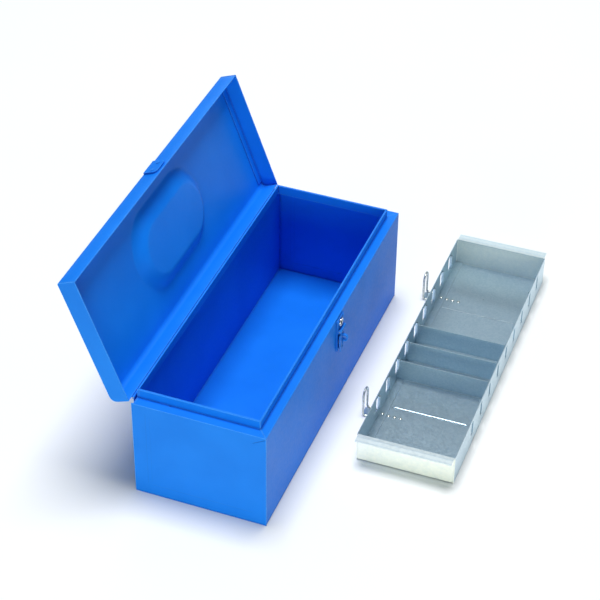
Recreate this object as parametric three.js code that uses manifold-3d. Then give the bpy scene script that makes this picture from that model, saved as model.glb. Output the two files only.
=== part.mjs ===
// A sheet-steel tool box with a hinged lid, standing open, and its divided insert tray lying in front.
// Millimetres, +Z up. X runs along the box, the latch is on the -Y side, the hinge on the +Y side.
// The origin is on the floor under the middle of the box.
import * as THREE from "three";
import { mergeVertices } from "three/addons/utils/BufferGeometryUtils.js";
import Module from "manifold-3d";

const wasm = await Module();
wasm.setup();

// ---- driving dimensions ----
const GAP = 0.3; // clearance between pieces that touch
const SHEET = 1.2; // sheet steel of the box and its lid
const BOX_LENGTH = 500;
const BOX_WIDTH = 178;
const BODY_HEIGHT = 146; // floor to the ledge that the lid rests on
const LEDGE_END = 14; // ledge width at the two ends
const LEDGE_FRONT = 12.5;
const LIP_HEIGHT = 12; // upstand around the opening
const HEM = 2 * SHEET; // the lip's edge is folded over on itself
const REAR_JOGGLE = 2.2; // inward step of the rear wall under its lip
const BEND = 2; // outside radius of the sheet's bends
const DRAIN_RADIUS = 1.2; // drain hole in each end ledge, at the root of the lip
const DRAIN_Y = 42;
const LID_HEIGHT = 25.3; // ledge to the top of the closed lid
const LID_REAR_BEND = 8;
const LID_OPEN_ANGLE = 110.5;
const LID_FLANGE = 10; // weld flange of the lid's end plates

const HINGE_LENGTH = 0.96 * BOX_LENGTH;
const KNUCKLE_PITCH = 30;
const KNUCKLE_RADIUS = 1.8;
const HINGE_PIN_RADIUS = 0.8;
const LEAF_THICKNESS = 0.8;
const LEAF_REACH = 16; // hinge axis to the far edge of a leaf

const CUP_LENGTH = 196; // recess in the lid for the carrying handle, at the lid's surface
const CUP_WIDTH = 113;
const CUP_SLOPE_RUN = 21; // how far the recess's sides lean inwards
const CUP_DEPTH = 12;
const CUP_Y = -3;
const BAIL_RADIUS = 3;
const BAIL_SPAN = 116; // between the centrelines of the handle's two legs
const BAIL_REACH = 32; // pivot to grip
const BAIL_STUB = 20; // pivot stub that runs inwards from each leg
const BAIL_BEND = 8;
const SADDLE_WIDTH = 10;
const SADDLE_SHEET = 1.5;
const SADDLE_FOOT = 12; // half length of a saddle clip

const LATCH_X = 9;
const LOCK_Z = BODY_HEIGHT - 13;
const LATCH_PIVOT_Z = BODY_HEIGHT - 23.5;
const LATCH_PLATE_HALF = 13;
const LATCH_PLATE_TOP = BODY_HEIGHT - 4;
const LATCH_PLATE_HEIGHT = 54;
const LATCH_PLATE_TAPER = 2; // how much narrower each side is at the bottom
const LATCH_PLATE_CORNER = 5;
const LEVER_LENGTH = 37.5; // pivot to tip
const LEVER_HALF = 10.5;
const LEVER_TIP_HALF = 5;
const LATCH_KNUCKLE_RADIUS = 2;
const LATCH_KNUCKLE_HALF = 6.5;
const LATCH_EAR_WIDTH = 3;
const LATCH_PIN_RADIUS = 1;
const STAPLE_DROP = 13.5; // pivot to the middle of the padlock staple
const STAPLE_HALF_HEIGHT = 5.5;
const STAPLE_REACH = 11;
const STAPLE_THICKNESS = 3;
const SHACKLE_HOLE_RADIUS = 3.2;
const LOCK_BODY_RADIUS = 4.4;
const LOCK_BEZEL_RADIUS = 6;
const LOCK_BEZEL_HEIGHT = 1.4;
const LOCK_PLUG_RADIUS = 3;
const LOCK_DEPTH = 13; // behind the front wall's outer face
const CAM_LENGTH = 15;
const CAM_HALF = 4.5;
const CAM_THICKNESS = 1.6;
const CAM_STUD_RADIUS = 2; // the plug's thin end, which carries the cam
const CATCH_HALF = 15; // half width of the catch plate on the lid
const CATCH_THICKNESS = 2.2;

const TRAY_LENGTH = 451;
const TRAY_WIDTH = 131.4;
const TRAY_HEIGHT = 43.4;
const TRAY_SHEET = 1;
const TRAY_FLOOR = 1.5; // underside of the tray's floor
const TRAY_X = -93.6; // where the tray's rear corner next to the -X end lies
const TRAY_Y = -152.3;
const TRAY_TURN = 0.585; // degrees, about Z
const FLANGE_FLAT = 4; // the end walls' turned-out edge: a flat part, then a part that droops
const FLANGE_REACH = 13.7;
const FLANGE_DROOP = 0.6;
const WALL_FOOT = 11; // width of a side wall's foot on the tray floor
const SLOT_COUNT = 9;
const SLOT_FIRST = 80.2;
const SLOT_PITCH = 41.15;
const SLOT_WIDTH = 8;
const SLOT_TOP = 0.89; // shares of the wall's height
const SLOT_BOTTOM = 0.38;
const DIVIDER_STATIONS = [2, 3, 4]; // slots that a divider stands beside
const DIVIDER_TOP = 35.5;
const TAB_REACH = 3;
const LUG_REACH = 2.5;
const STRAP_OFFSET = 134; // each lifting loop's strap from the middle of the tray
const STRAP_HALF = 7;
const STRAP_INNER = 36; // under the tray
const STRAP_OUTER = 20.5; // beyond its rear wall
const LOOP_REACH = 19; // centre of the upright wire beyond the rear wall
const LOOP_TOP = 42;
const WIRE_RADIUS = 1.5;
const WIRE_BEND = 4;
const STRAP_RIVETS = [5.5, 14, 22.5, 31]; // distances in from the rear wall's outer face
const STRAP_SHANK_RADIUS = 1.2;
const STRAP_HEAD_RADIUS = 2.3;
const BEAD_STATIONS = [111, 341]; // stiffening beads across the tray floor
const BEAD_HALF = 1.2;
const BEAD_RISE = 0.7;

const RIVET_SHANK_RADIUS = 1.3;
const RIVET_HEAD_RADIUS = 2.6;
const RIVET_HEAD_HEIGHT = 1;
const ROUND = 16; // sides of a small round piece
const ARC_STEPS = 4; // segments of a rounded corner

// ---- lengths that follow ----
const HALF_LENGTH = BOX_LENGTH / 2;
const HALF_WIDTH = BOX_WIDTH / 2;
const WRAP_HALF = HALF_LENGTH - SHEET - GAP; // half length of the sheets between the end plates
const LIP_TOP = BODY_HEIGHT + LIP_HEIGHT;
const LIP_END_X = HALF_LENGTH - LEDGE_END;
const LIP_FRONT_Y = -(HALF_WIDTH - LEDGE_FRONT);
const LIP_REAR_Y = HALF_WIDTH - REAR_JOGGLE;
const LID_RIM = BODY_HEIGHT + GAP;
const LID_TOP = BODY_HEIGHT + LID_HEIGHT;
const HINGE_Y = HALF_WIDTH + GAP + KNUCKLE_RADIUS;
const HINGE_Z = LID_RIM;
const CUP_FLOOR = LID_TOP - CUP_DEPTH;
const BAIL_Y = CUP_Y - 10;
const BAIL_Z = CUP_FLOOR + GAP + BAIL_RADIUS;
const FRONT = -HALF_WIDTH;
const LATCH_PLATE_FACE = FRONT - GAP - SHEET;
const LATCH_PIVOT_Y = LATCH_PLATE_FACE - GAP - LATCH_KNUCKLE_RADIUS;
const FLOOR_TOP = TRAY_FLOOR + TRAY_SHEET;
const FOOT_UNDER = FLOOR_TOP + GAP;
const FOOT_TOP = FOOT_UNDER + TRAY_SHEET;
const degrees = THREE.MathUtils.degToRad;

// ---- materials ----
function steel(color, roughness, metalness) {
  return () => new THREE.MeshStandardMaterial({ color, roughness, metalness });
}
const bluePaint = steel(0x1f6fd6, 0.45, 0);
const galvanised = steel(0xa9b9c3, 0.42, 0.9);
const chrome = steel(0xd5dade, 0.15, 1);
const zincPlate = steel(0xb4b8bb, 0.35, 1);
const darkSteel = steel(0x3a3d42, 0.5, 0.8);

// ---- geometry helpers ----
function solidOf(geometry) {
  const bare = new THREE.BufferGeometry();
  bare.setAttribute("position", geometry.getAttribute("position"));
  if (geometry.index) bare.setIndex(geometry.index);
  const merged = mergeVertices(bare, 1e-4);
  const vertProperties = new Float32Array(merged.attributes.position.array);
  const triVerts = new Uint32Array(merged.index.array);
  return new wasm.Manifold(new wasm.Mesh({ numProp: 3, vertProperties, triVerts }));
}

function geometryOf(solid) {
  const { vertProperties, triVerts } = solid.getMesh();
  const geometry = new THREE.BufferGeometry();
  geometry.setAttribute("position", new THREE.BufferAttribute(vertProperties, 3));
  geometry.setIndex(new THREE.BufferAttribute(triVerts, 1));
  geometry.computeVertexNormals();
  return geometry;
}

function join(...geometries) {
  return geometryOf(geometries.map(solidOf).reduce((all, next) => all.add(next)));
}

function cut(geometry, ...cutters) {
  return geometryOf(cutters.map(solidOf).reduce((rest, next) => rest.subtract(next), solidOf(geometry)));
}

// An outline with rounded corners. Each corner is [a, b] or [a, b, radius].
function outline(corners) {
  const points = [];
  corners.forEach(([a, b, radius = 0], i) => {
    const corner = new THREE.Vector2(a, b);
    if (radius === 0) {
      points.push(corner);
      return;
    }
    const before = corners.at(i - 1);
    const after = corners[(i + 1) % corners.length];
    const toBefore = new THREE.Vector2(before[0], before[1]).sub(corner).normalize();
    const toAfter = new THREE.Vector2(after[0], after[1]).sub(corner).normalize();
    const half = Math.acos(toBefore.dot(toAfter)) / 2;
    const centre = toBefore.clone().add(toAfter).setLength(radius / Math.sin(half)).add(corner);
    const start = toBefore.clone().multiplyScalar(radius / Math.tan(half)).add(corner).sub(centre).angle();
    const turn = (Math.PI - 2 * half) * Math.sign(toBefore.cross(toAfter));
    for (let k = 0; k <= ARC_STEPS; k++) {
      const angle = start - (turn * k) / ARC_STEPS;
      points.push(new THREE.Vector2(Math.cos(angle), Math.sin(angle)).multiplyScalar(radius).add(centre));
    }
  });
  return points;
}

function circle(a, b, radius, sides = ROUND) {
  return Array.from({ length: sides }, (_, k) => {
    const angle = (2 * Math.PI * (k + 0.5)) / sides;
    return new THREE.Vector2(a + radius * Math.cos(angle), b + radius * Math.sin(angle));
  });
}

function extrude(points, depth, holes) {
  const shape = new THREE.Shape(points);
  shape.holes = holes.map((hole) => new THREE.Path(hole));
  return new THREE.ExtrudeGeometry(shape, { depth, bevelEnabled: false });
}

// A (y, z) outline extruded from x = from to x = to.
function alongX(points, from, to, holes = []) {
  const basis = new THREE.Matrix4().makeBasis(
    new THREE.Vector3(0, 1, 0),
    new THREE.Vector3(0, 0, 1),
    new THREE.Vector3(1, 0, 0),
  );
  return extrude(points, to - from, holes).applyMatrix4(basis).translate(from, 0, 0);
}

// An (x, z) outline extruded from y = from to y = to.
function alongY(points, from, to, holes = []) {
  return extrude(points, to - from, holes).rotateX(Math.PI / 2).translate(0, to, 0);
}

// An (x, y) outline extruded from z = from to z = to.
function alongZ(points, from, to, holes = []) {
  return extrude(points, to - from, holes).translate(0, 0, from);
}

function ordered(a, b) {
  return [Math.min(a, b), Math.max(a, b)];
}

function box(x0, x1, y0, y1, z0, z1) {
  const geometry = new THREE.BoxGeometry(x1 - x0, y1 - y0, z1 - z0);
  return geometry.translate((x0 + x1) / 2, (y0 + y1) / 2, (z0 + z1) / 2);
}

// A solid of revolution about the Y axis through (x, z). The profile lists [radius, y].
function turnedAlongY(profile, x, z, sides = ROUND) {
  const points = profile.map(([radius, y]) => new THREE.Vector2(radius, y));
  return new THREE.LatheGeometry(points, sides).translate(x, 0, z);
}

// The same about a vertical axis through (x, y); the profile lists [radius, z].
function turnedAlongZ(profile, x, y, sides = ROUND) {
  const points = profile.map(([radius, z]) => new THREE.Vector2(radius, z));
  return new THREE.LatheGeometry(points, sides).rotateX(Math.PI / 2).translate(x, y, 0);
}

// A round wire along a route of square turns, each a quarter round.
// Each stop is [x, y, z] or [x, y, z, bend].
function wire(stops, radius, sides, steps) {
  const QUARTER = 0.5523; // handle length of a Bezier quarter circle
  const route = new THREE.CurvePath();
  let from = new THREE.Vector3(...stops[0]);
  for (let i = 1; i < stops.length; i++) {
    const corner = new THREE.Vector3(...stops[i].slice(0, 3));
    const bend = stops[i][3] ?? 0;
    const back = from.clone().sub(corner).normalize();
    const start = corner.clone().addScaledVector(back, bend);
    route.add(new THREE.LineCurve3(from, start));
    from = start;
    if (bend > 0) {
      const onward = new THREE.Vector3(...stops[i + 1].slice(0, 3)).sub(corner).normalize();
      const end = corner.clone().addScaledVector(onward, bend);
      const handleIn = corner.clone().addScaledVector(back, bend * (1 - QUARTER));
      const handleOut = corner.clone().addScaledVector(onward, bend * (1 - QUARTER));
      route.add(new THREE.CubicBezierCurve3(start, handleIn, handleOut, end));
      from = end;
    }
  }
  const section = new THREE.Shape(circle(0, 0, radius, sides));
  return new THREE.ExtrudeGeometry(section, { steps, extrudePath: route });
}

function piece(group, name, geometry, material) {
  const mesh = new THREE.Mesh(geometry, material());
  mesh.name = name;
  group.add(mesh);
}

const model = new THREE.Group();

// ---- box body ----
// The corner mitre of the ledge, as an (x, y) outline on one side of the joint at the +X or -X end.
function mitre(end, keepFront) {
  const OVERRUN = 3;
  const outer = new THREE.Vector2(HALF_LENGTH, FRONT);
  const inner = new THREE.Vector2(LIP_END_X - HEM, LIP_FRONT_Y + HEM);
  const along = inner.clone().sub(outer).normalize();
  outer.addScaledVector(along, -OVERRUN);
  inner.addScaledVector(along, OVERRUN);
  const shift = ((keepFront ? -1 : 1) * GAP) / 2;
  const far = keepFront ? new THREE.Vector2(outer.x, inner.y) : new THREE.Vector2(inner.x, outer.y);
  return [outer, inner, far].map((point) => new THREE.Vector2(end * (point.x + shift), point.y));
}

// Front wall, floor and rear wall in one folded sheet, with the front ledge and the front and rear lips.
function bodyWrap() {
  const inner = HALF_WIDTH - SHEET;
  const ledgeUnder = BODY_HEIGHT - SHEET;
  const joggleTop = BODY_HEIGHT - KNUCKLE_RADIUS - GAP;
  const joggleBottom = joggleTop - REAR_JOGGLE;
  const profile = outline([
    [FRONT, 0, BEND],
    [HALF_WIDTH, 0, BEND],
    [HALF_WIDTH, joggleBottom],
    [LIP_REAR_Y, joggleTop],
    [LIP_REAR_Y, LIP_TOP, SHEET / 2],
    [LIP_REAR_Y - HEM, LIP_TOP, SHEET / 2],
    [LIP_REAR_Y - HEM, BODY_HEIGHT + GAP],
    [LIP_REAR_Y - SHEET, BODY_HEIGHT + GAP],
    [LIP_REAR_Y - SHEET, joggleTop],
    [inner, joggleBottom],
    [inner, SHEET, BEND - SHEET],
    [-inner, SHEET, BEND - SHEET],
    [-inner, ledgeUnder],
    [LIP_FRONT_Y + HEM, ledgeUnder],
    [LIP_FRONT_Y + HEM, LIP_TOP, SHEET / 2],
    [LIP_FRONT_Y, LIP_TOP, SHEET / 2],
    [LIP_FRONT_Y, BODY_HEIGHT],
    [FRONT, BODY_HEIGHT, BEND / 2],
  ]);
  const above = LIP_TOP + 1;
  const cutters = [lockHole(), ...latchRivets().map(([x, z]) => rivetHole(x, z))];
  for (const end of [-1, 1]) {
    cutters.push(alongZ(mitre(end, true), ledgeUnder - GAP / 2, above));
    const [x0, x1] = end > 0 ? [LIP_END_X, HALF_LENGTH] : [-HALF_LENGTH, -LIP_END_X];
    cutters.push(box(x0, x1, 0, HALF_WIDTH + 1, BODY_HEIGHT, above));
  }
  return cut(alongX(profile, -WRAP_HALF, WRAP_HALF), ...cutters);
}

// One end: a plate over the ends of the wrap, folded inwards at its top into the end ledge and lip.
function bodyEnd(end) {
  const span = (a, b) => ordered(end * a, end * b);
  const ledgeUnder = BODY_HEIGHT - SHEET;
  const plate = box(...span(HALF_LENGTH - SHEET, HALF_LENGTH), FRONT, HALF_WIDTH, 0, BODY_HEIGHT);
  const rearOfLedge = LIP_REAR_Y - SHEET - GAP;
  const ledge = box(...span(LIP_END_X - HEM, HALF_LENGTH), FRONT, rearOfLedge, ledgeUnder, BODY_HEIGHT);
  const rearOfLip = LIP_REAR_Y - HEM - GAP;
  const lip = box(...span(LIP_END_X - HEM, LIP_END_X), FRONT, rearOfLip, ledgeUnder, LIP_TOP);
  const joint = alongZ(mitre(end, false), ledgeUnder - GAP / 2, LIP_TOP + 1);
  const drainAt = end * (LIP_END_X + DRAIN_RADIUS + GAP);
  const drain = alongZ(circle(drainAt, DRAIN_Y, DRAIN_RADIUS, 8), ledgeUnder - 1, BODY_HEIGHT + 1);
  return cut(join(plate, ledge, lip), joint, drain);
}

piece(model, "body_wrap", bodyWrap(), bluePaint);
piece(model, "body_end_left", bodyEnd(-1), bluePaint);
piece(model, "body_end_right", bodyEnd(1), bluePaint);

// ---- latch and lock on the front wall ----
function latchRivets() {
  const inset = RIVET_HEAD_RADIUS + 1;
  const top = LATCH_PLATE_TOP - inset;
  const bottom = LATCH_PLATE_TOP - LATCH_PLATE_HEIGHT + LATCH_PLATE_CORNER + 1;
  const upper = LATCH_PLATE_HALF - inset;
  const lower = upper - LATCH_PLATE_TAPER;
  return [[-upper, top], [upper, top], [-lower, bottom], [lower, bottom]]
    .map(([dx, z]) => [LATCH_X + dx, z]);
}

function lockHole() {
  return alongY(circle(LATCH_X, LOCK_Z, LOCK_BODY_RADIUS + GAP), FRONT - 5, FRONT + 5);
}

function rivetHole(x, z) {
  return alongY(circle(x, z, RIVET_SHANK_RADIUS + GAP), FRONT - 5, FRONT + 5);
}

function latchPin(radius, reach) {
  return alongX(circle(LATCH_PIVOT_Y, LATCH_PIVOT_Z, radius), LATCH_X - reach, LATCH_X + reach);
}

// Base plate with two ears that carry the lever's pin.
function latchPlate() {
  const bottom = LATCH_PLATE_TOP - LATCH_PLATE_HEIGHT;
  const bottomHalf = LATCH_PLATE_HALF - LATCH_PLATE_TAPER;
  const plate = alongY(outline([
    [LATCH_X - LATCH_PLATE_HALF, LATCH_PLATE_TOP, BEND],
    [LATCH_X + LATCH_PLATE_HALF, LATCH_PLATE_TOP, BEND],
    [LATCH_X + bottomHalf, bottom, LATCH_PLATE_CORNER],
    [LATCH_X - bottomHalf, bottom, LATCH_PLATE_CORNER],
  ]), LATCH_PLATE_FACE, FRONT - GAP);
  const ears = [-1, 1].flatMap((side) => {
    const near = LATCH_X + side * (LATCH_KNUCKLE_HALF + GAP);
    const [x0, x1] = ordered(near, near + side * LATCH_EAR_WIDTH);
    return [
      alongX(circle(LATCH_PIVOT_Y, LATCH_PIVOT_Z, LATCH_KNUCKLE_RADIUS), x0, x1),
      box(x0, x1, LATCH_PIVOT_Y, LATCH_PLATE_FACE + SHEET / 2,
        LATCH_PIVOT_Z - LATCH_KNUCKLE_RADIUS, LATCH_PIVOT_Z + LATCH_KNUCKLE_RADIUS),
    ];
  });
  const holes = latchRivets().map(([x, z]) => rivetHole(x, z));
  return cut(join(plate, ...ears), lockHole(), ...holes, latchPin(LATCH_PIN_RADIUS + GAP, LATCH_PLATE_HALF));
}

// Tapered lever that hangs from the pin, with a slot that lets the padlock staple through.
function latchLever() {
  const at = (dx, drop, radius) => [LATCH_X + dx, LATCH_PIVOT_Z - drop, radius];
  const front = LATCH_PIVOT_Y - SHEET;
  const shoulder = LATCH_KNUCKLE_RADIUS + SHEET + GAP;
  const waist = 0.85 * LEVER_HALF;
  const tipRound = 0.9 * LEVER_TIP_HALF;
  const plate = alongY(outline([
    at(-LATCH_KNUCKLE_HALF, 0, 0),
    at(-LATCH_KNUCKLE_HALF, shoulder, 0),
    at(-LEVER_HALF, 2 * shoulder, BEND),
    at(-waist, 0.6 * LEVER_LENGTH, BEND),
    at(-LEVER_TIP_HALF, LEVER_LENGTH, tipRound),
    at(LEVER_TIP_HALF, LEVER_LENGTH, tipRound),
    at(waist, 0.6 * LEVER_LENGTH, BEND),
    at(LEVER_HALF, 2 * shoulder, BEND),
    at(LATCH_KNUCKLE_HALF, shoulder, 0),
    at(LATCH_KNUCKLE_HALF, 0, 0),
  ]), front, front + SHEET);
  const knuckle = latchPin(LATCH_KNUCKLE_RADIUS, LATCH_KNUCKLE_HALF);
  const slotHalf = STAPLE_THICKNESS / 2 + 3 * GAP;
  const slotTop = LATCH_PIVOT_Z - shoulder - SHEET;
  const slotBottom = LATCH_PIVOT_Z - 0.83 * LEVER_LENGTH;
  const slot = alongY(outline([
    [LATCH_X - slotHalf, slotBottom, slotHalf / 2],
    [LATCH_X + slotHalf, slotBottom, slotHalf / 2],
    [LATCH_X + slotHalf, slotTop, slotHalf / 2],
    [LATCH_X - slotHalf, slotTop, slotHalf / 2],
  ]), front - 2, front + 2);
  return cut(join(plate, knuckle), slot, latchPin(LATCH_PIN_RADIUS + GAP, LATCH_PLATE_HALF));
}

// D-shaped padlock staple, standing out through the lever's slot.
function padlockStaple() {
  const z = LATCH_PIVOT_Z - STAPLE_DROP;
  const back = LATCH_PLATE_FACE - GAP;
  const front = back - STAPLE_REACH;
  const shackleY = front + SHACKLE_HOLE_RADIUS + 1.9;
  const profile = outline([
    [back, z - STAPLE_HALF_HEIGHT],
    [back, z + STAPLE_HALF_HEIGHT],
    [front, z + STAPLE_HALF_HEIGHT, 0.95 * STAPLE_HALF_HEIGHT],
    [front, z - STAPLE_HALF_HEIGHT, 0.95 * STAPLE_HALF_HEIGHT],
  ]);
  const half = STAPLE_THICKNESS / 2;
  const hole = circle(shackleY, z, SHACKLE_HOLE_RADIUS);
  return alongX(profile, LATCH_X - half, LATCH_X + half, [hole]);
}

// Fixed lock housing: bezel in front of the plate, threaded body through plate and wall.
function lockHousing() {
  const bezelBack = LATCH_PLATE_FACE - GAP;
  const bezelFront = bezelBack - LOCK_BEZEL_HEIGHT;
  const bore = LOCK_PLUG_RADIUS + GAP;
  return turnedAlongY([
    [bore, bezelFront],
    [LOCK_BEZEL_RADIUS - 0.8, bezelFront],
    [LOCK_BEZEL_RADIUS, bezelBack - LOCK_BEZEL_HEIGHT / 3],
    [LOCK_BEZEL_RADIUS, bezelBack],
    [LOCK_BODY_RADIUS, bezelBack],
    [LOCK_BODY_RADIUS, FRONT + LOCK_DEPTH],
    [bore, FRONT + LOCK_DEPTH],
    [bore, bezelFront],
  ], LATCH_X, LOCK_Z, 24);
}

// Keyed plug that turns in the housing; its thin end carries the cam.
function lockPlug() {
  const face = LATCH_PLATE_FACE - LOCK_BEZEL_HEIGHT;
  const shoulder = FRONT + LOCK_DEPTH + GAP;
  const end = shoulder + CAM_THICKNESS + 1;
  const plug = turnedAlongY([
    [0, face],
    [LOCK_PLUG_RADIUS, face],
    [LOCK_PLUG_RADIUS, shoulder],
    [CAM_STUD_RADIUS, shoulder],
    [CAM_STUD_RADIUS, end],
    [0, end],
  ], LATCH_X, LOCK_Z);
  const [keyHalf, keyReach] = [0.5, 2];
  const keyway = box(LATCH_X - keyHalf, LATCH_X + keyHalf, face - 1, face + 3,
    LOCK_Z - keyReach, LOCK_Z + keyReach);
  return cut(plug, keyway);
}

function lockCam() {
  const front = FRONT + LOCK_DEPTH + 2 * GAP;
  const profile = outline([
    [LATCH_X - CAM_HALF, LOCK_Z + CAM_HALF, CAM_HALF - 1],
    [LATCH_X + CAM_HALF, LOCK_Z + CAM_HALF, CAM_HALF - 1],
    [LATCH_X + CAM_HALF, LOCK_Z - CAM_LENGTH, BEND],
    [LATCH_X - CAM_HALF, LOCK_Z - CAM_LENGTH, BEND],
  ]);
  return alongY(profile, front, front + CAM_THICKNESS, [circle(LATCH_X, LOCK_Z, CAM_STUD_RADIUS + GAP)]);
}

function lockNut() {
  const inside = FRONT + SHEET + GAP;
  const HEX_RADIUS = 8;
  const NUT_HEIGHT = 3;
  return alongY(circle(LATCH_X, LOCK_Z, HEX_RADIUS, 6), inside, inside + NUT_HEIGHT,
    [circle(LATCH_X, LOCK_Z, LOCK_BODY_RADIUS + GAP)]);
}

// A rivet through a plate and a wall behind it, along Y. outer and inner are the faces its heads sit on.
function rivetAlongY(x, z, outer, inner) {
  const head = outer - GAP;
  const tail = inner + GAP;
  const tailRadius = 0.85 * RIVET_HEAD_RADIUS;
  const tailEnd = tail + 0.7 * RIVET_HEAD_HEIGHT;
  return turnedAlongY([
    [0, head - RIVET_HEAD_HEIGHT],
    [0.6 * RIVET_HEAD_RADIUS, head - 0.85 * RIVET_HEAD_HEIGHT],
    [RIVET_HEAD_RADIUS, head],
    [RIVET_SHANK_RADIUS, head],
    [RIVET_SHANK_RADIUS, tail],
    [tailRadius, tail],
    [tailRadius, tailEnd],
    [0, tailEnd],
  ], x, z, 12);
}

piece(model, "latch_plate", latchPlate(), bluePaint);
piece(model, "latch_lever", latchLever(), bluePaint);
piece(model, "latch_pin", latchPin(LATCH_PIN_RADIUS, LATCH_KNUCKLE_HALF + LATCH_EAR_WIDTH), zincPlate);
piece(model, "padlock_staple", padlockStaple(), bluePaint);
piece(model, "lock_housing", lockHousing(), chrome);
piece(model, "lock_plug", lockPlug(), darkSteel);
piece(model, "lock_cam", lockCam(), zincPlate);
piece(model, "lock_nut", lockNut(), zincPlate);
latchRivets().forEach(([x, z], i) => {
  piece(model, `latch_rivet_${i + 1}`, rivetAlongY(x, z, LATCH_PLATE_FACE, FRONT + SHEET), bluePaint);
});

// ---- lid, drawn closed and then swung open about the hinge ----
const lidPivot = new THREE.Group();
lidPivot.position.set(0, HINGE_Y, HINGE_Z);
lidPivot.rotation.x = -degrees(LID_OPEN_ANGLE);
const lid = new THREE.Group();
lid.position.set(0, -HINGE_Y, -HINGE_Z);
lidPivot.add(lid);
model.add(lidPivot);

function catchRivets() {
  const spread = 0.6 * CATCH_HALF;
  return [-1, 1].map((side) => [LATCH_X + side * spread, (LID_RIM + LID_TOP) / 2]);
}

// A long round-ended outline in (x, y), with the same number of points at every size.
function stadium(length, width, z) {
  const END_STEPS = 12;
  const radius = width / 2;
  const points = [];
  for (const end of [1, -1]) {
    for (let k = 0; k <= END_STEPS; k++) {
      const angle = Math.PI * (k / END_STEPS - 0.5);
      const x = end * (length / 2 - radius + radius * Math.cos(angle));
      points.push(new THREE.Vector3(x, CUP_Y + end * radius * Math.sin(angle), z));
    }
  }
  return points;
}

// A closed solid through rings of equal length, lowest first, each convex.
function loft(rings) {
  const count = rings[0].length;
  const middles = [rings[0], rings.at(-1)].map((ring) => new THREE.Vector3(0, CUP_Y, ring[0].z));
  const vertices = [...rings.flat(), ...middles];
  const [low, high] = [vertices.length - 2, vertices.length - 1];
  const top = (rings.length - 1) * count;
  const faces = [];
  for (let k = 0; k < count; k++) {
    const next = (k + 1) % count;
    faces.push(low, next, k, high, top + k, top + next);
    for (let ring = 0; ring < rings.length - 1; ring++) {
      const [a, b] = [ring * count + k, ring * count + next];
      faces.push(a, b, b + count, a, b + count, a + count);
    }
  }
  const geometry = new THREE.BufferGeometry().setFromPoints(vertices);
  return geometry.setIndex(faces);
}

// The handle recess as a solid: raise = 0 for its underside, SHEET for the hollow above it.
function cupSolid(raise, rise) {
  const [floor, rim] = [CUP_FLOOR - SHEET + raise, LID_TOP - SHEET + raise];
  return loft([
    stadium(CUP_LENGTH - 2 * CUP_SLOPE_RUN, CUP_WIDTH - 2 * CUP_SLOPE_RUN, floor),
    stadium(CUP_LENGTH, CUP_WIDTH, rim),
    stadium(CUP_LENGTH, CUP_WIDTH, rim + rise),
  ]);
}

// Rear wall, top and front wall in one folded sheet, with the handle recess pressed into the top.
function lidShell() {
  const inner = HALF_WIDTH - SHEET;
  const profile = outline([
    [HALF_WIDTH, LID_RIM],
    [HALF_WIDTH, LID_TOP, LID_REAR_BEND],
    [FRONT, LID_TOP, BEND],
    [FRONT, LID_RIM],
    [-inner, LID_RIM],
    [-inner, LID_TOP - SHEET, BEND - SHEET],
    [inner, LID_TOP - SHEET, LID_REAR_BEND - SHEET],
    [inner, LID_RIM],
  ]);
  const sheet = join(alongX(profile, -WRAP_HALF, WRAP_HALF), cupSolid(0, SHEET / 2));
  return cut(sheet, cupSolid(SHEET, 1), ...catchRivets().map(([x, z]) => rivetHole(x, z)));
}

// End plate of the lid, with a weld flange under the top sheet.
function lidEnd(end) {
  const profile = outline([
    [HALF_WIDTH, LID_RIM],
    [HALF_WIDTH, LID_TOP, LID_REAR_BEND],
    [FRONT, LID_TOP, BEND],
    [FRONT, LID_RIM],
  ]);
  const span = (a, b) => ordered(end * a, end * b);
  const plate = alongX(profile, ...span(HALF_LENGTH - SHEET, HALF_LENGTH));
  const flangeTop = LID_TOP - SHEET - GAP;
  const clear = LID_REAR_BEND + SHEET;
  const flange = box(...span(HALF_LENGTH - SHEET / 2, HALF_LENGTH - SHEET - LID_FLANGE),
    FRONT + clear, HALF_WIDTH - clear, flangeTop - SHEET, flangeTop);
  return join(plate, flange);
}

// Catch plate that the latch closes on, riveted to the lid's front wall.
function lidCatch() {
  const back = FRONT - GAP;
  const CORNER = 6;
  const profile = outline([
    [LATCH_X - CATCH_HALF, LID_TOP - BEND, 0],
    [LATCH_X + CATCH_HALF, LID_TOP - BEND, 0],
    [LATCH_X + CATCH_HALF, LID_RIM + 4, CORNER],
    [LATCH_X - CATCH_HALF, LID_RIM + 4, CORNER],
  ]);
  const plate = alongY(profile, back - CATCH_THICKNESS, back);
  return cut(plate, ...catchRivets().map(([x, z]) => rivetHole(x, z)));
}

piece(lid, "lid_shell", lidShell(), bluePaint);
piece(lid, "lid_end_left", lidEnd(-1), bluePaint);
piece(lid, "lid_end_right", lidEnd(1), bluePaint);
piece(lid, "lid_catch", lidCatch(), bluePaint);
catchRivets().forEach(([x, z], i) => {
  const face = FRONT - GAP - CATCH_THICKNESS;
  piece(lid, `catch_rivet_${i + 1}`, rivetAlongY(x, z, face, FRONT + SHEET), bluePaint);
});

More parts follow.
